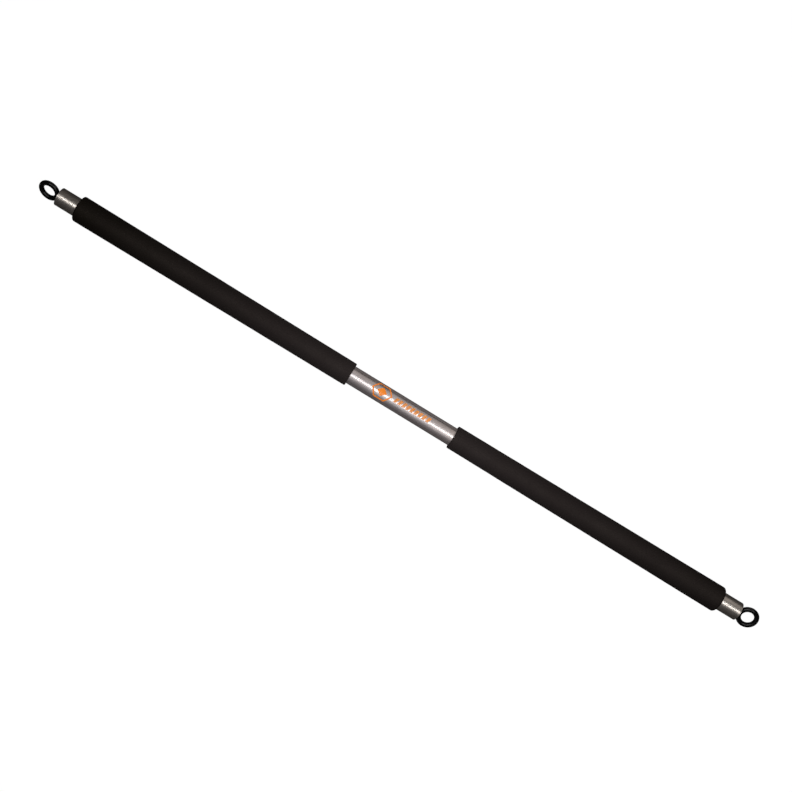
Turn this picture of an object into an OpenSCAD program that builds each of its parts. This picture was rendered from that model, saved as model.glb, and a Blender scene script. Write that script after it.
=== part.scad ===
// Padded cargo bar: a steel tube with two foam sleeves and a swivelling eye in each end.
// X runs along the bar, Z is up, and the origin is the middle of the tube's axis.
// The pieces of an end are drawn with the tube's face at x = 0 and X pointing out of the tube.

/* [Tube] */
// Length of the tube
tube_length = 1313; // [901:2:1799]
// Outside diameter of the tube
tube_d = 31.75; // [30:0.25:38]
// Wall thickness of the tube
tube_wall = 1.65; // [1.2:0.05:2]

/* [Foam sleeves] */
// Bare tube between the two sleeves
bare_middle = 197; // [160:1:300]
// Bare tube at each end
bare_tip = 37; // [20:0.5:40]
// Foam thickness at a sleeve's outer end
foam_outer_wall = 6.35; // [5:0.05:9]
// Foam thickness at a sleeve's inner end
foam_inner_wall = 4.35; // [4:0.05:8]
// Corner radius of a sleeve's outer end
foam_outer_corner = 3.5; // [1:0.5:4]
// Corner radius of a sleeve's inner end
foam_inner_corner = 1.5; // [1:0.5:3]

/* [Swivel eyes] */
// Diameter of the eye's wire
wire_d = 8.5; // [7:0.5:9]
// Inside diameter of the eye
eye_inside_d = 21.2; // [18:0.1:24]
// Diameter of the threaded shank
shank_d = 8; // [6:0.5:8]
// Distance from the tube's face to the eye's centre
eye_reach = 18.5; // [17.5:0.5:24]
// Turn of the left eye about the bar, from lying flat
left_eye_angle = 50; // [0:1:180]
// Turn of the right eye about the bar, from lying flat
right_eye_angle = 25; // [0:1:180]
// Diameter of the eye's collar
collar_d = 18; // [14:0.5:20]

/* [End plugs] */
// Depth of a plug's front face inside the tube
plug_inset = 6.5; // [6:0.5:9]
// Length of a plug
plug_length = 46; // [44:1:60]
// Thickness of the web that the shank passes through
plug_web = 17.5; // [17:0.5:20]
// Diameter of the hollow behind the web
plug_hollow_d = 22; // [20:0.5:22]
// Diameter of the cross pin
pin_d = 5; // [3:0.5:6]

/* [Bushes] */
// Outside diameter of a bush's sleeve
bush_d = 11; // [10:0.5:12]
// Diameter of a bush's flange
bush_flange_d = 18; // [14:0.5:19]
// Thickness of a bush's flange
bush_flange = 1.5; // [1:0.1:2]
// Length of a bush's sleeve
bush_length = 7.5; // [5:0.5:8]

/* [Printed mark] */
// Turn of the mark's middle about the bar, from the top towards +Y
mark_angle = 11; // [0:1:45]
// Length of the hexagon along the bar
hexagon_length = 38; // [24:1:40]
// Height of the hexagon round the tube
hexagon_height = 28; // [16:1:30]
// Width of the hexagon's line
hexagon_line = 2.4; // [1.5:0.1:4]
// Length of the diamond in the hexagon
diamond_length = 18; // [6:1:20]
// Number of slanted bars
bar_count = 9; // [3:1:10]
// Height of a slanted bar
bar_height = 9; // [6:0.5:16]

/* [Hidden] */
$fn = 64;

// Tube
tube_r = tube_d / 2;
tube_bore_d = tube_d - 2 * tube_wall;
tube_edge = 0.4;
cut = 1;

// Eye
eye_r = (eye_inside_d + wire_d) / 2;
collar_gap = 1.5;
collar_back = -plug_inset + bush_flange;
collar_bevel = 0.6;
neck_base_r = 6;
neck_top_r = 3;
neck_top = eye_reach - eye_r + 0.4;
running_clearance = 0.05;
end_play = 0.1;

// Nut and washer, stock sizes for an 8 mm shank
washer_d = 2 * shank_d;
washer_hole_d = 1.05 * shank_d;
washer_thickness = 1.6;
nut_flats = 13;
nut_hex_height = 5.5;
nut_height = 8;
nut_collar_d = 12;
insert_d = 10.4;
insert_height = 2;
insert_recess = 0.3;
insert_gap = 0.05;
thread_stand_out = 2.4;
thread_bevel = 0.8;

// Where the pieces on the shank lie, measured from the tube's face
web_back = -plug_inset - plug_web;
washer_front = web_back - bush_flange - end_play;
nut_front = washer_front - washer_thickness;
nut_back = nut_front - nut_height;
shank_end = nut_back - thread_stand_out;
plug_back = -plug_inset - plug_length;
pin_x = (plug_back + shank_end) / 2;
pin_length = tube_d - 1.2;
pin_bore_d = 0.6 * pin_d;
pin_slot = 0.2 * pin_d;
plug_bevel = 0.8;

// Foam sleeve
foam_inner_x = bare_middle / 2;
foam_outer_x = tube_length / 2 - bare_tip;
foam_bevel = 0.6;
corner_steps = 6;

// Printed mark, laid out flat and then wrapped round the tube
mark_thickness = 0.15;
hexagon_x = -40;
diamond_ratio = 0.9;
bars_start = -17;
bars_end = 52;
bar_fill = 0.7;
bar_lean = 3.5;
wrap_steps = 8;

// A straight round bar along X from x0 to x1
module rod(x0, x1, d) {
    translate([x0, 0, 0])
        rotate([0, 90, 0])
            cylinder(h = x1 - x0, d = d);
}

// Turns a profile of [x, radius] points about X
module turned(profile) {
    rotate([0, 90, 0])
        rotate_extrude()
            polygon([for (p = profile) [p[1], p[0]]]);
}

// Moves the pieces of an end to the bar's +X end
module at_right() {
    translate([tube_length / 2, 0, 0])
        children();
}

// Moves the pieces of an end to the bar's -X end
module at_left() {
    mirror([1, 0, 0])
        at_right()
            children();
}

// The hole for the cross pin, or the pin's own outline
module pin_shape(length, d) {
    translate([pin_x, 0, 0])
        rotate([90, 0, 0])
            cylinder(h = length, d = d, center = true);
}

// The pin hole in both ends
module pin_holes() {
    at_left()
        pin_shape(tube_d + cut, pin_d);
    at_right()
        pin_shape(tube_d + cut, pin_d);
}

module tube() {
    half = tube_length / 2;
    bore_r = tube_bore_d / 2;
    color("silver")
        difference() {
            turned([
                [-half + tube_edge, tube_r], [half - tube_edge, tube_r], [half, tube_r - tube_edge],
                [half, bore_r + tube_edge], [half - tube_edge, bore_r],
                [-half + tube_edge, bore_r], [-half, bore_r + tube_edge], [-half, tube_r - tube_edge]
            ]);
            pin_holes();
        }
}

// Quarter circle of radius r about [cx, cy], from angle a0 to a1
function corner(cx, cy, r, a0, a1) = [
    for (i = [0:corner_steps])
        let (a = a0 + (a1 - a0) * i / corner_steps) [cx + r * cos(a), cy + r * sin(a)]
];

// A sleeve tapers from its outer end to its inner end; both ends have rounded corners
module foam_sleeve() {
    outer_r = tube_r + foam_outer_wall;
    inner_r = tube_r + foam_inner_wall;
    color("dimgray")
        turned(concat(
            [[foam_inner_x + foam_bevel, tube_r], [foam_inner_x, tube_r + foam_bevel]],
            corner(foam_inner_x + foam_inner_corner, inner_r - foam_inner_corner,
                foam_inner_corner, 180, 90),
            corner(foam_outer_x - foam_outer_corner, outer_r - foam_outer_corner,
                foam_outer_corner, 90, 0),
            [[foam_outer_x, tube_r + foam_bevel], [foam_outer_x - foam_bevel, tube_r]]
        ));
}

// Where a point [along, around] of the flat mark shows when it is wrapped and seen from above
function wrapped(p) = [p[0], tube_r * sin(p[1] / tube_r * 180 / PI)];

// The outline of a flat polygon with its sides divided, so that they wrap smoothly
function wrapped_outline(points) = [
    for (i = [0:len(points) - 1], k = [0:wrap_steps - 1])
        let (a = points[i], b = points[(i + 1) % len(points)], f = k / wrap_steps)
            wrapped([a[0] + (b[0] - a[0]) * f, a[1] + (b[1] - a[1]) * f])
];

// Corners of a hexagon that lies inset from the mark's own
function hexagon(inset) =
    let (
        lean = hexagon_length / (2 * hexagon_height),
        tip = hexagon_length / 2 - inset * sqrt(1 + lean * lean),
        top = hexagon_height / 2 - inset,
        side = tip - lean * top
    )
    [[tip, 0], [side, top], [-side, top], [-tip, 0], [-side, -top], [side, -top]];

// A hexagon's line round a diamond, then a row of slanted bars
module mark_outline() {
    pitch = (bars_end - bars_start) / bar_count;
    half_length = diamond_length / 2;
    half_height = half_length * diamond_ratio;
    translate([hexagon_x, 0]) {
        difference() {
            polygon(wrapped_outline(hexagon(0)));
            polygon(wrapped_outline(hexagon(hexagon_line)));
        }
        polygon(wrapped_outline([
            [half_length, 0], [0, half_height], [-half_length, 0], [0, -half_height]
        ]));
    }
    for (i = [0:bar_count - 1]) {
        x = bars_start + i * pitch;
        low = -bar_height / 2;
        polygon(wrapped_outline([
            [x, low], [x + bar_fill * pitch, low],
            [x + bar_fill * pitch + bar_lean, -low], [x + bar_lean, -low]
        ]));
    }
}

module printed_mark() {
    color("darkorange")
        rotate([-mark_angle, 0, 0])
            intersection() {
                difference() {
                    rod(-tube_length / 4, tube_length / 4, tube_d + 2 * mark_thickness);
                    rod(-tube_length / 4 - cut, tube_length / 4 + cut, tube_d);
                }
                linear_extrude(height = tube_d)
                    mark_outline();
            }
}

// Solid web in front for the bushes, hollow skirt behind for the nut and the cross pin
module end_plug() {
    plug_r = tube_bore_d / 2;
    hollow_r = plug_hollow_d / 2;
    bore_r = bush_d / 2;
    color("lightgray")
        difference() {
            turned([
                [plug_back, plug_r - plug_bevel], [plug_back + plug_bevel, plug_r],
                [-plug_inset - plug_bevel, plug_r], [-plug_inset, plug_r - plug_bevel],
                [-plug_inset, bore_r], [web_back, bore_r], [web_back, hollow_r], [plug_back, hollow_r]
            ]);
            pin_shape(tube_d + cut, pin_d);
        }
}

// Slotted spring pin
module plug_pin() {
    color("gainsboro")
        difference() {
            pin_shape(pin_length, pin_d);
            pin_shape(pin_length + cut, pin_bore_d);
            translate([pin_x - pin_d, -tube_d / 2, -pin_slot / 2])
                cube([pin_d, tube_d, pin_slot]);
        }
}

// Flanged bush with its flange against x = 0 and its sleeve towards -X
module bush() {
    difference() {
        union() {
            rod(0, bush_flange, bush_flange_d);
            rod(-bush_length, cut / 2, bush_d);
        }
        rod(-bush_length - cut, bush_flange + cut, shank_d + 2 * running_clearance);
    }
}

module front_bush() {
    color("ivory")
        translate([-plug_inset, 0, 0])
            bush();
}

module rear_bush() {
    color("ivory")
        translate([web_back, 0, 0])
            mirror([1, 0, 0])
                bush();
}

// Ring of round wire on a collar and a threaded shank
module eye_bolt(angle) {
    shank_r = shank_d / 2;
    collar_r = collar_d / 2;
    color("black")
        rotate([angle, 0, 0]) {
            translate([eye_reach, 0, 0])
                rotate_extrude()
                    translate([eye_r, 0])
                        circle(d = wire_d);
            turned([
                [shank_end, 0], [shank_end, shank_r - thread_bevel], [shank_end + thread_bevel, shank_r],
                [collar_back, shank_r], [collar_back, collar_r],
                [-collar_gap - collar_bevel, collar_r], [-collar_gap, collar_r - collar_bevel],
                [-collar_gap, neck_base_r], [neck_top, neck_top_r], [neck_top, 0]
            ]);
        }
}

module washer() {
    color("silver")
        difference() {
            rod(nut_front, washer_front, washer_d);
            rod(nut_front - cut, washer_front + cut, washer_hole_d);
        }
}

// Hexagon nut with a round collar that holds the nylon ring
module lock_nut(angle) {
    recess = insert_height + insert_recess;
    color("silver")
        rotate([angle, 0, 0])
            difference() {
                union() {
                    translate([nut_front - nut_hex_height, 0, 0])
                        rotate([0, 90, 0])
                            cylinder(h = nut_hex_height, d = nut_flats / cos(30), $fn = 6);
                    rod(nut_back, nut_front - nut_hex_height / 2, nut_collar_d);
                }
                rod(nut_back - cut, nut_front + cut, shank_d);
                rod(nut_back - cut, nut_back + recess, insert_d + 2 * insert_gap);
            }
}

module nut_insert() {
    insert_front = nut_back + insert_height + insert_recess;
    color("royalblue")
        difference() {
            rod(insert_front - insert_height, insert_front, insert_d);
            rod(insert_front - insert_height - cut, insert_front + cut, shank_d);
        }
}

tube();
mirror([1, 0, 0]) foam_sleeve();  // foam_sleeve_left
foam_sleeve();  // foam_sleeve_right
printed_mark();
at_left() end_plug();  // end_plug_left
at_right() end_plug();  // end_plug_right
at_left() plug_pin();  // plug_pin_left
at_right() plug_pin();  // plug_pin_right
at_left() front_bush();  // front_bush_left
at_right() front_bush();  // front_bush_right
at_left() rear_bush();  // rear_bush_left
at_right() rear_bush();  // rear_bush_right
at_left() eye_bolt(left_eye_angle);  // eye_bolt_left
at_right() eye_bolt(right_eye_angle);  // eye_bolt_right
at_left() washer();  // washer_left
at_right() washer();  // washer_right
at_left() lock_nut(left_eye_angle);  // lock_nut_left
at_right() lock_nut(right_eye_angle);  // lock_nut_right
at_left() nut_insert();  // nut_insert_left
at_right() nut_insert();  // nut_insert_right
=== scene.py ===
"""Looks of the padded bar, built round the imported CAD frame. Lengths are in metres.

X runs along the bar to the right, Z is up and -Y is the front. The left end mirrors the
right end in X, apart from the turn of its eye and the corner and waves of its sleeve.
"""
import math

import bpy
import numpy as np
from mathutils import Matrix, Vector, noise


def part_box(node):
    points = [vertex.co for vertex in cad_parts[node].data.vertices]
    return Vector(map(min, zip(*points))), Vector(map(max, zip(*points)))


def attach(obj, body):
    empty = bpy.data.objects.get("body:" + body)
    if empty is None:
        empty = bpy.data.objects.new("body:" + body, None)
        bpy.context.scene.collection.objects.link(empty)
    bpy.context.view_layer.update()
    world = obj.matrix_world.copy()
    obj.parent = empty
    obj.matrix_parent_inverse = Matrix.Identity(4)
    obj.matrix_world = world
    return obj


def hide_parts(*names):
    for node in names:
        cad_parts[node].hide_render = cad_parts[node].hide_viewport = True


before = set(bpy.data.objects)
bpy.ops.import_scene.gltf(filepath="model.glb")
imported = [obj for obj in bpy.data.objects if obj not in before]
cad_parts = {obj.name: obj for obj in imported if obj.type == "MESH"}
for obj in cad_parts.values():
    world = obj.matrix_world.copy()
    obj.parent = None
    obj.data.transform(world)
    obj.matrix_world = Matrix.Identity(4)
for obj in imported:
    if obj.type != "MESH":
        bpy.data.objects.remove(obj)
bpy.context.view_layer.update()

MM = 0.001


# ---------------------------------------------------------------- sizes from the frame

def node_radius(node):
    """Largest distance of a node's box from the bar's axis."""
    low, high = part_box(node)
    return max(abs(v) for v in (low.y, low.z, high.y, high.z))


TUBE_R = node_radius("tube")
TUBE_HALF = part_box("tube")[1].x
BORE_R = node_radius("end_plug_right")
SLEEVE_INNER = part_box("foam_sleeve_right")[0].x
SLEEVE_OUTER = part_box("foam_sleeve_right")[1].x
SLEEVE_R = node_radius("foam_sleeve_right")

# What the frame doesn't say
SLEEVE_TAPER = 2.0 * MM
SIDES = {"left": -1, "right": 1}


# ---------------------------------------------------------------- camera

# Place in metres, yaw about Y and roll about the view in radians, lens in mm
CAMERA_HEIGHT = 2.0406
CAMERA_SIDE = 0.0089
CAMERA_ALONG = -0.0759
CAMERA_YAW = 0.029
CAMERA_ROLL = math.radians(31.454)
CAMERA_LENS = 56.28


def make_camera():
    """Looks down on the bar, which runs down to the right, from a little left of its middle."""
    data = bpy.data.cameras.new("camera")
    data.lens = CAMERA_LENS
    data.sensor_width = 36
    data.clip_end = 100
    camera = bpy.data.objects.new("camera", data)
    bpy.context.scene.collection.objects.link(camera)
    along = Vector((math.cos(CAMERA_YAW), 0, math.sin(CAMERA_YAW)))
    across = Vector((0, 1, 0))
    back = along.cross(across)
    right = along * math.cos(CAMERA_ROLL) + across * math.sin(CAMERA_ROLL)
    up = across * math.cos(CAMERA_ROLL) - along * math.sin(CAMERA_ROLL)
    place = Matrix((right, up, back)).transposed().to_4x4()
    place.translation = (CAMERA_ALONG, CAMERA_SIDE, CAMERA_HEIGHT)
    camera.matrix_world = place
    bpy.context.scene.camera = camera


make_camera()


# ---------------------------------------------------------------- node helpers

class Graph:
    """A material's node tree, with short calls for the nodes used here."""

    def __init__(self, name):
        self.material = bpy.data.materials.new(name)
        self.material.use_nodes = True
        self.tree = self.material.node_tree
        self.shader = self.tree.nodes["Principled BSDF"]

    def put(self, socket, value):
        """Links a socket, or sets a constant on the input."""
        if isinstance(value, bpy.types.NodeSocket):
            self.tree.links.new(value, socket)
        else:
            socket.default_value = value

    def node(self, kind, **settings):
        made = self.tree.nodes.new(kind)
        for key, value in settings.items():
            setattr(made, key, value)
        return made

    def set(self, **inputs):
        """Inputs of the Principled shader, with _ for a space."""
        for key, value in inputs.items():
            self.put(self.shader.inputs[key.replace("_", " ")], value)

    def place(self, scale=(1, 1, 1)):
        """Object coordinates, which are the frame's own metres, stretched by scale."""
        coordinates = self.node("ShaderNodeTexCoord")
        mapping = self.node("ShaderNodeMapping")
        self.put(mapping.inputs["Vector"], coordinates.outputs["Object"])
        self.put(mapping.inputs["Scale"], scale)
        return mapping.outputs["Vector"]

    def distance(self):
        """Distance from the middle of the bar."""
        length = self.node("ShaderNodeVectorMath", operation="LENGTH")
        self.put(length.inputs[0], self.place())
        return length.outputs["Value"]

    def coordinate(self, axis):
        """One of the object coordinates. X runs along the bar from its middle to the right."""
        split = self.node("ShaderNodeSeparateXYZ")
        self.put(split.inputs[0], self.place())
        return split.outputs[axis]

    def noise(self, scale, detail=2.0, rough=0.5, stretch=(1, 1, 1)):
        made = self.node("ShaderNodeTexNoise")
        self.put(made.inputs["Vector"], self.place(stretch))
        self.put(made.inputs["Scale"], scale)
        self.put(made.inputs["Detail"], detail)
        self.put(made.inputs["Roughness"], rough)
        return made.outputs["Fac"]

    def cells(self, scale):
        made = self.node("ShaderNodeTexVoronoi")
        self.put(made.inputs["Vector"], self.place())
        self.put(made.inputs["Scale"], scale)
        return made.outputs["Distance"]

    def remap(self, value, low, high, to_low=0.0, to_high=1.0):
        made = self.node("ShaderNodeMapRange")
        limits = (("From Min", low), ("From Max", high), ("To Min", to_low), ("To Max", to_high))
        for key, number in limits:
            self.put(made.inputs[key], number)
        self.put(made.inputs["Value"], value)
        return made.outputs["Result"]

    def math(self, operation, a, b=0.0):
        made = self.node("ShaderNodeMath", operation=operation)
        self.put(made.inputs[0], a)
        self.put(made.inputs[1], b)
        return made.outputs["Value"]

    def mix(self, factor, a, b):
        """Between two colours."""
        made = self.node("ShaderNodeMix", data_type="RGBA")
        self.put(made.inputs["Factor"], factor)
        self.put(made.inputs["A"], a)
        self.put(made.inputs["B"], b)
        return made.outputs["Result"]

    def bump(self, height, depth, strength, normal=None):
        made = self.node("ShaderNodeBump")
        self.put(made.inputs["Height"], height)
        self.put(made.inputs["Distance"], depth)
        self.put(made.inputs["Strength"], strength)
        if normal is not None:
            self.put(made.inputs["Normal"], normal)
        return made.outputs["Normal"]


def rgb(red, green, blue):
    return (red, green, blue, 1.0)


# ---------------------------------------------------------------- materials

# Noise cells per metre along and across the bar
DRAW_LINES = (14, 1100, 1100)
SCRATCHES = (45, 3400, 3400)
TURNING_MARKS = (3200, 90, 90)

# Distance from the middle over which the tube turns from its middle's tone to its tips', a
# painted reflection of the surroundings
TIP_REFLECTION_RANGE = (0.15, 0.55)

# Painted light falloff: the foam is painted greyest at its inner ends and darker towards its
# outer ends.
# On the left the grey fades out at the sleeve's outer end, and on the right only at this X,
# which is past the sleeve.
PAINTED_FALLOFF_END = 0.9

# X where the mark's hexagon ends and its bars start, which differ in colour
BADGE_END = -0.020
BARS_START = -0.018

# Brightness of the floor to the camera
FLOOR_GLOW = 0.93
# Painted shade: to reflected light the floor dims from this distance from the middle to that of
# the tube's ends
FLOOR_SHADE_START = 0.1
# Nearer than that, its tone goes from the front's at Y = 0 to the brighter back's at this Y,
# painted light from the side
FLOOR_LIT_BACK = 0.08


def steel_tube():
    """Satin steel with draw lines and scratches along it, faint stains, and tips whose warmer
    tone is a painted reflection.
    """
    g = Graph("steel_tube")
    lines = g.noise(1, detail=3, stretch=DRAW_LINES)
    scratches = g.noise(1, detail=3, rough=0.7, stretch=SCRATCHES)
    stain = g.noise(34, detail=3, rough=0.6)
    tint = g.noise(17, detail=2)
    plain = g.mix(g.remap(stain, 0.35, 0.7), rgb(0.435, 0.398, 0.398), rgb(0.375, 0.338, 0.338))
    warm = g.mix(g.remap(tint, 0.45, 0.75, 0, 0.35), plain, rgb(0.395, 0.332, 0.295))
    # painted reflection: the tips get a warmer, olive grey tone in place of the surroundings'
    # reflection
    tip_reflection = g.remap(g.math("ABSOLUTE", g.coordinate("X")), *TIP_REFLECTION_RANGE)
    toned = g.mix(tip_reflection, warm, rgb(0.420, 0.384, 0.342))
    drawn = g.mix(g.remap(lines, 0.35, 0.7, 0, 0.3), toned, rgb(0.47, 0.445, 0.44))
    polish = g.math("ADD", g.math("MULTIPLY", lines, 0.3), stain)
    g.set(
        Base_Color=g.mix(g.remap(scratches, 0.42, 0.66, 0, 0.5), drawn, rgb(0.25, 0.225, 0.215)),
        Metallic=1.0,
        Specular_Tint=rgb(0.45, 0.45, 0.46),
        Roughness=g.remap(polish, 0.4, 0.9, 0.345, 0.385),
        Normal=g.bump(scratches, 0.006 * MM, 0.5, g.bump(lines, 0.008 * MM, 0.5)),
    )
    return g.material


def foam_rubber():
    """Closed-cell black foam with fine cells and a few pits painted darker as painted shade, and
    painted light that makes it greyer at its inner ends and darkest at its left outer end.
    """
    g = Graph("foam_rubber")
    cells = g.cells(900)
    grain = g.noise(1500, detail=3, rough=0.7)
    patches = g.noise(22, detail=4, rough=0.62)
    dust = g.noise(380, detail=2, rough=0.8)
    pits_and_shade = g.remap(g.cells(120), 0.0, 0.13)
    place = g.coordinate("X")
    # painted light falloff: this mask and the dark-to-grey tones below make the foam greyer
    # towards its inner ends and darkest at the left outer end
    painted_falloff = g.math(
        "MULTIPLY",
        g.remap(place, -SLEEVE_OUTER, -SLEEVE_INNER),
        g.remap(place, PAINTED_FALLOFF_END, SLEEVE_INNER),
    )
    clean = g.mix(painted_falloff, rgb(0.0012, 0.0008, 0.0003), rgb(0.0145, 0.0112, 0.0116))
    worn = g.mix(painted_falloff, rgb(0.0028, 0.0020, 0.0012), rgb(0.0190, 0.0158, 0.0158))
    skin = g.mix(g.remap(patches, 0.3, 0.72, 0.0, 0.35), clean, worn)
    dusty = g.mix(g.remap(dust, 0.62, 0.8, 0, 0.4), skin, rgb(0.035, 0.031, 0.030))
    height = g.math("ADD", g.math("MULTIPLY", cells, 0.7), g.math("MULTIPLY", grain, 0.6))
    g.set(
        # painted shade: the pits are painted a dark grey, darker than most of the skin round
        # them
        Base_Color=g.mix(pits_and_shade, rgb(0.003, 0.0028, 0.0028), dusty),
        Roughness=g.remap(patches, 0.2, 0.8, 0.76, 0.64),
        Specular_IOR_Level=0.13,
        Specular_Tint=rgb(1.0, 0.84, 0.72),
        Normal=g.bump(pits_and_shade, 0.35 * MM, 0.6, g.bump(height, 0.22 * MM, 0.45)),
    )
    return g.material


def black_gloss():
    """Glossy black enamel with a light orange-peel and small scuffs."""
    g = Graph("black_gloss")
    peel = g.noise(700, detail=1)
    scuff = g.noise(240, detail=4, rough=0.7)
    clean = rgb(0.0015, 0.0015, 0.0016)
    scuffed = rgb(0.006, 0.006, 0.0062)
    g.set(
        Base_Color=g.mix(g.remap(scuff, 0.6, 0.8), clean, scuffed),
        Roughness=g.remap(scuff, 0.45, 0.75, 0.12, 0.30),
        Specular_IOR_Level=0.15,
        Normal=g.bump(peel, 0.05 * MM, 0.3),
    )
    return g.material


def zinc_plate():
    """Bright zinc with a faint crystalline mottle, yellowed spots and turning marks."""
    g = Graph("zinc_plate")
    mottle = g.cells(420)
    turning = g.noise(1, detail=2, stretch=TURNING_MARKS)
    colour = g.mix(g.remap(mottle, 0.1, 0.7), rgb(0.50, 0.52, 0.54), rgb(0.66, 0.67, 0.68))
    yellowed = g.remap(g.noise(60, detail=3), 0.5, 0.75, 0, 0.3)
    g.set(
        Base_Color=g.mix(yellowed, colour, rgb(0.60, 0.56, 0.44)),
        Metallic=1.0,
        Roughness=g.remap(mottle, 0.0, 0.8, 0.24, 0.38),
        Normal=g.bump(turning, 0.03 * MM, 0.5),
    )
    return g.material


def pin_steel():
    """Phosphated spring steel, dark grey with a fine grain."""
    g = Graph("pin_steel")
    grain = g.noise(2200, detail=3, rough=0.7)
    dark = rgb(0.10, 0.097, 0.092)
    light = rgb(0.20, 0.195, 0.185)
    g.set(
        Base_Color=g.mix(g.remap(grain, 0.35, 0.7), dark, light),
        Metallic=1.0,
        Roughness=g.remap(grain, 0.3, 0.7, 0.40, 0.58),
        Normal=g.bump(grain, 0.03 * MM, 0.4),
    )
    return g.material


def nylon(name, dark, light):
    """Moulded nylon with a slightly clouded surface."""
    g = Graph(name)
    cloud = g.noise(160, detail=3)
    g.set(
        Base_Color=g.mix(g.remap(cloud, 0.3, 0.7), dark, light),
        Roughness=g.remap(cloud, 0.3, 0.7, 0.38, 0.5),
        Subsurface_Weight=0.08,
        Subsurface_Radius=(0.002, 0.0018, 0.0014),
        Normal=g.bump(g.noise(1800, detail=2), 0.02 * MM, 0.4),
    )
    return g.material


def orange_ink():
    """Screen-printed orange ink, thin where it is rubbed and paler on the row of bars."""
    g = Graph("orange_ink")
    rub = g.noise(420, detail=4, rough=0.7)
    tone = g.noise(60, detail=2)
    badge = g.mix(g.remap(tone, 0.3, 0.7), rgb(0.76, 0.195, 0.008), rgb(0.84, 0.235, 0.016))
    bars = g.mix(g.remap(tone, 0.3, 0.7), rgb(0.62, 0.225, 0.050), rgb(0.72, 0.275, 0.080))
    ink = g.mix(g.remap(g.coordinate("X"), BADGE_END, BARS_START), badge, bars)
    g.set(
        Base_Color=g.mix(g.remap(rub, 0.66, 0.76, 0, 0.7), ink, rgb(0.36, 0.26, 0.20)),
        Roughness=g.remap(rub, 0.4, 0.8, 0.30, 0.5),
        Specular_IOR_Level=0.25,
        Normal=g.bump(rub, 0.03 * MM, 0.5),
    )
    return g.material


def pale_floor():
    """Plain pale floor, evenly bright to the camera and dimmer to reflected light, with painted
    light that brightens its back and painted shade that darkens it far from the middle.
    """
    g = Graph("pale_floor")
    seen = g.node("ShaderNodeLightPath").outputs["Is Camera Ray"]
    # painted shade: to reflected light the floor darkens away from the middle
    far = g.remap(g.distance(), FLOOR_SHADE_START, TUBE_HALF)
    front = rgb(0.22, 0.21, 0.215)
    back = rgb(0.34, 0.32, 0.31)
    # painted light: to reflected light the back (+Y) is brighter than the front
    middle = g.mix(g.remap(g.coordinate("Y"), 0, FLOOR_LIT_BACK), front, back)
    painted_light_and_shade = g.mix(far, middle, rgb(0.06, 0.058, 0.055))
    tone = g.mix(g.noise(3, detail=2), rgb(0.098, 0.098, 0.098), rgb(0.102, 0.102, 0.102))
    g.set(
        Base_Color=g.mix(seen, painted_light_and_shade, tone),
        Roughness=0.9,
        Specular_IOR_Level=0.1,
        Emission_Color=rgb(1, 1, 1),
        Emission_Strength=g.math("MULTIPLY", seen, FLOOR_GLOW),
    )
    return g.material


STEEL = steel_tube()
FOAM = foam_rubber()
BLACK = black_gloss()
ZINC = zinc_plate()
PIN = pin_steel()
BUSH_NYLON = nylon("bush_nylon", rgb(0.66, 0.63, 0.53), rgb(0.76, 0.74, 0.65))
INSERT_NYLON = nylon("insert_nylon", rgb(0.02, 0.09, 0.34), rgb(0.035, 0.13, 0.44))
INK = orange_ink()


# ---------------------------------------------------------------- mesh helpers

def new_piece(name, points, faces, material, sharp=40):
    """A mesh object in the frame, smooth except where faces meet at more than sharp degrees."""
    mesh = bpy.data.meshes.new(name)
    mesh.from_pydata([tuple(p) for p in points], [], faces)
    mesh.validate()
    mesh.shade_smooth()
    mesh.set_sharp_from_angle(angle=math.radians(sharp))
    mesh.materials.append(material)
    made = bpy.data.objects.new(name, mesh)
    bpy.context.scene.collection.objects.link(made)
    return made


def ring_faces(rings, around):
    """Quads between rings of points, the last of which joins the first."""
    faces = []
    for i in range(rings):
        a, b = i * around, (i + 1) % rings * around
        for j in range(around):
            k = (j + 1) % around
            faces.append((a + j, a + k, b + k, b + j))
    return faces


def lathe(name, profile, around, material, shape=None, sharp=40):
    """Turns a closed profile of (x, radius) points about X.

    Where shape is given, it makes the radius from x, the angle and the profile's radius.
    """
    points = []
    for x, radius in profile:
        for j in range(around):
            angle = 2 * math.pi * j / around
            r = shape(x, angle, radius) if shape else radius
            points.append((x, r * math.cos(angle), r * math.sin(angle)))
    return new_piece(name, points, ring_faces(len(profile), around), material, sharp)


def arc(cx, cy, radius, start, end, steps):
    """Points of an arc about (cx, cy), with angles in degrees."""
    return [
        (cx + radius * math.cos(math.radians(a)), cy + radius * math.sin(math.radians(a)))
        for a in np.linspace(start, end, steps + 1)
    ]


def line(a, b, steps):
    """Points from a up to but not including b."""
    return [
        (a[0] + (b[0] - a[0]) * i / steps, a[1] + (b[1] - a[1]) * i / steps)
        for i in range(steps)
    ]


# ---------------------------------------------------------------- tube

TUBE_AROUND = 192
TUBE_STEPS = 24
OUTER_EDGE = 0.8 * MM
OUTER_EDGE_STEPS = 7
INNER_EDGE = 0.4 * MM
INNER_EDGE_STEPS = 4


def make_tube():
    """A plain tube with its end rims rounded off."""
    outer_x = TUBE_HALF - OUTER_EDGE
    inner_x = TUBE_HALF - INNER_EDGE
    rim = arc(outer_x, TUBE_R - OUTER_EDGE, OUTER_EDGE, 90, 0, OUTER_EDGE_STEPS)
    mouth = arc(inner_x, BORE_R + INNER_EDGE, INNER_EDGE, 0, -90, INNER_EDGE_STEPS)
    profile = rim + mouth
    left = [(-x, r) for x, r in reversed(profile)]
    inside = line((inner_x, BORE_R), (-inner_x, BORE_R), TUBE_STEPS)[1:]
    outside = line((-outer_x, TUBE_R), (outer_x, TUBE_R), TUBE_STEPS)[1:]
    tube = lathe("tube_steel", profile + inside + left + outside, TUBE_AROUND, STEEL, sharp=50)
    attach(tube, "bar")
    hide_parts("tube")


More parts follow.
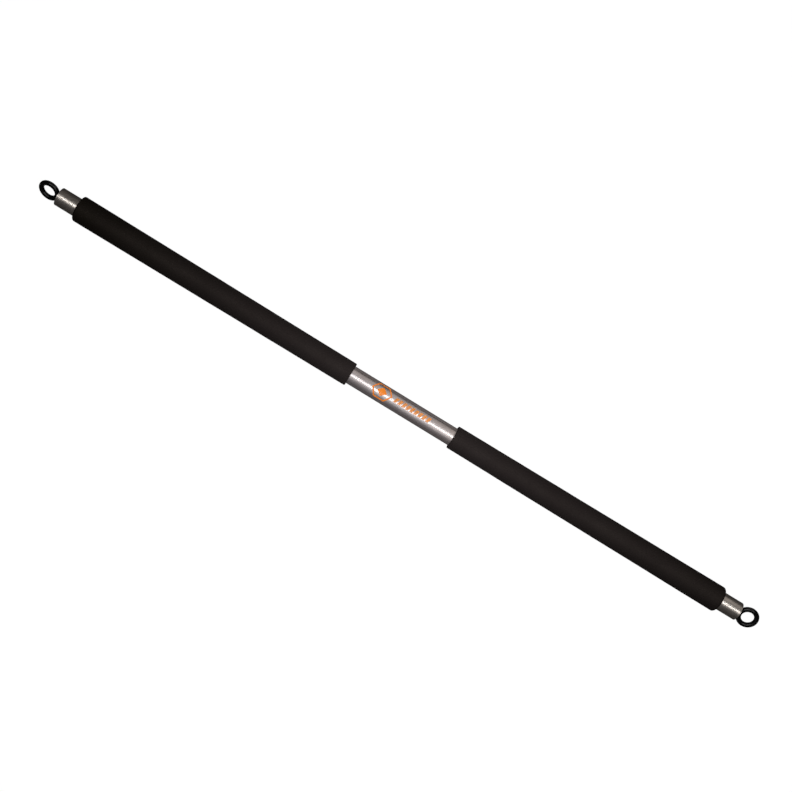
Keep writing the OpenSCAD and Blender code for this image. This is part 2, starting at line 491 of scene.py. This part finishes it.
make_tube()


# ---------------------------------------------------------------- foam sleeves

SLEEVE_AROUND = 128
SLEEVE_STEP = 2.5 * MM
BORE_STEPS = 40
# Corner radius of the outer end: its mean, and what is added at +Y and taken off at -Y
CORNER = {"left": (3.3 * MM, -1.3 * MM), "right": (5.0 * MM, 0.0)}
CORNER_STEP = 0.35 * MM
OUTER_FACE_STEPS = 5
INNER_CORNER = 1.6 * MM
INNER_CORNER_STEPS = 6
INNER_FACE_STEPS = 4
MOUTH_EDGE = 0.7 * MM

# The skin is raised by this, less its waves and ripples
SKIN_RISE = 0.22 * MM
# All three are nil up to this height above the bore, and full from twice that on
SKIN_FADE = 1.5 * MM
# Largest height of the waves and of the ripples
WAVE = 0.14 * MM
RIPPLE = 0.06 * MM
# Noise cells of each, per metre along the bar and per radius round it
WAVE_ALONG, WAVE_ROUND = 26, 0.8
RIPPLE_ALONG, RIPPLE_ROUND = 140, 2.4
SEEDS = {"left": 11.0, "right": 47.0}


def sleeve_profile(corner):
    """Closed outline of a right-hand sleeve with a square outer end, which soft() rounds."""
    thin = SLEEVE_R - SLEEVE_TAPER
    inner, outer = SLEEVE_INNER, SLEEVE_OUTER
    skin_start = (inner + INNER_CORNER, thin)
    corner_start = (outer - corner, SLEEVE_R)
    steps = int((outer - inner) / SLEEVE_STEP)
    corner_steps = int(corner / CORNER_STEP)
    face_low = TUBE_R + MOUTH_EDGE
    inner_arc = arc(
        inner + INNER_CORNER, thin - INNER_CORNER, INNER_CORNER, 180, 90, INNER_CORNER_STEPS
    )
    return (
        line((inner, face_low), (inner, thin - INNER_CORNER), INNER_FACE_STEPS)
        + inner_arc[:-1]
        + line(skin_start, corner_start, steps)
        + line(corner_start, (outer, SLEEVE_R), corner_steps)
        + line((outer, SLEEVE_R), (outer, face_low), OUTER_FACE_STEPS)
        + [(outer, face_low), (outer - MOUTH_EDGE, TUBE_R)]
        + line((outer - MOUTH_EDGE, TUBE_R), (inner + MOUTH_EDGE, TUBE_R), BORE_STEPS)[1:]
        + [(inner + MOUTH_EDGE, TUBE_R)]
    )


def rounded(radius, distance, corner):
    """Radius at a distance from the outer end, where a corner of the given size cuts it."""
    if distance >= corner:
        return radius
    rest = corner - max(distance, 0.0)
    limit = SLEEVE_R - corner + math.sqrt(max(corner * corner - rest * rest, 0.0))
    return min(radius, limit)


def make_sleeve(name, side):
    """One sleeve; side is -1 for the left and 1 for the right."""
    seed = SEEDS[name]
    mean, swing = CORNER[name]

    def soft(x, angle, radius):
        """Rounds the outer end and gives the skin shallow waves, with none at the bore."""
        y, z = math.cos(angle), math.sin(angle)
        radius = rounded(radius, SLEEVE_OUTER - abs(x), mean + swing * y)
        weight = max(0.0, min(1.0, (radius - TUBE_R - SKIN_FADE) / SKIN_FADE))
        wave = noise.noise(Vector((x * WAVE_ALONG + seed, y * WAVE_ROUND, z * WAVE_ROUND)))
        ripple = noise.noise(
            Vector((x * RIPPLE_ALONG + seed, y * RIPPLE_ROUND, z * RIPPLE_ROUND))
        )
        return radius + weight * (SKIN_RISE - WAVE * wave - RIPPLE * ripple)

    profile = [(side * x, r) for x, r in sleeve_profile(mean + abs(swing))]
    if side < 0:
        profile.reverse()
    sleeve = lathe("foam_" + name, profile, SLEEVE_AROUND, FOAM, soft)
    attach(sleeve, "bar")
    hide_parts("foam_sleeve_" + name)


for side_name, side in SIDES.items():
    make_sleeve(side_name, side)


# ---------------------------------------------------------------- CAD nodes that stay

def dress(node, material):
    """Gives a carried-over CAD node its material."""
    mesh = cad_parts[node].data
    mesh.materials.clear()
    mesh.materials.append(material)


dress("printed_mark", INK)
for side_name in SIDES:
    dress("eye_bolt_" + side_name, BLACK)
    dress("end_plug_" + side_name, ZINC)
    dress("washer_" + side_name, ZINC)
    dress("lock_nut_" + side_name, ZINC)
    dress("plug_pin_" + side_name, PIN)
    dress("front_bush_" + side_name, BUSH_NYLON)
    dress("rear_bush_" + side_name, BUSH_NYLON)
    dress("nut_insert_" + side_name, INSERT_NYLON)


# ---------------------------------------------------------------- floor and light

FLOOR_SIZE = 40.0
# Between the floor and the CAD sleeves, for the skin that stands proud of them
FLOOR_GAP = 0.5 * MM

# The even glow that lights the bar, and the plain backdrop that the camera sees
WORLD_GLOW = 0.04
WORLD_COLOUR = rgb(1.0, 0.95, 0.92)
BACKDROP = rgb(0.93, 0.93, 0.93)


def make_floor():
    half = FLOOR_SIZE / 2
    level = -SLEEVE_R - FLOOR_GAP
    flat = ((-half, -half), (half, -half), (half, half), (-half, half))
    corners = [(x, y, level) for x, y in flat]
    floor = new_piece("floor", corners, [(0, 1, 2, 3)], pale_floor())


def add_softbox(name, size, radiance, place, aim, colour):
    """A rectangular light at a place, which faces aim and which the camera doesn't see."""
    data = bpy.data.lights.new(name, "AREA")
    data.shape = "RECTANGLE"
    data.size, data.size_y = size
    data.energy = radiance * math.pi * size[0] * size[1]
    data.color = colour
    made = bpy.data.objects.new(name, data)
    bpy.context.scene.collection.objects.link(made)
    made.visible_camera = False
    back = (Vector(place) - Vector(aim)).normalized()
    across = back.cross(Vector((1, 0, 0))).normalized()
    turn = Matrix((across.cross(back), across, back)).transposed().to_4x4()
    turn.translation = place
    made.matrix_world = turn


def make_world(strength, colour, backdrop):
    """An even glow of the given strength, in place of which the camera sees the backdrop."""
    world = bpy.data.worlds.new("studio")
    world.use_nodes = True
    nodes, links = world.node_tree.nodes, world.node_tree.links
    glow = nodes["Background"]
    glow.inputs["Color"].default_value = colour
    glow.inputs["Strength"].default_value = strength
    seen = nodes.new("ShaderNodeBackground")
    seen.inputs["Color"].default_value = backdrop
    mix = nodes.new("ShaderNodeMixShader")
    links.new(nodes.new("ShaderNodeLightPath").outputs["Is Camera Ray"], mix.inputs["Fac"])
    links.new(glow.outputs["Background"], mix.inputs[1])
    links.new(seen.outputs["Background"], mix.inputs[2])
    links.new(mix.outputs["Shader"], nodes["World Output"].inputs["Surface"])
    bpy.context.scene.world = world


# name, size, radiance, place, the point that it faces, colour
SOFTBOXES = (
    ("strip", (3.8, 0.36), 11.6, (0.0, -0.02, 2.35), (0, -0.02, 0), (1, 1, 1)),
    ("key", (0.7, 1.60), 0.8, (0.2, 0.0, 1.0), (0.2, 0.0, 0), (1, 1, 1)),
    ("kicker", (0.7, 0.8), 0.45, (0.2, -0.70, 0.95), (0.2, -0.70, 0), (1, 1, 1)),
    ("right", (0.9, 2.0), 0.5, (1.5, 0.0, 2.3), (1.5, 0.0, 0), (1, 1, 1)),
    ("side", (2.7, 1.8), 0.90, (0.45, 2.05, 1.40), (0.45, 0, 0), (1.0, 0.94, 0.90)),
    ("fill", (2.0, 2.2), 0.27, (0.1, -2.10, 1.10), (0.1, 0, 0), (1.0, 0.96, 1.0)),
)

make_floor()
make_world(WORLD_GLOW, WORLD_COLOUR, BACKDROP)
for softbox in SOFTBOXES:
    add_softbox(*softbox)
bpy.context.scene.view_settings.view_transform = "Standard"
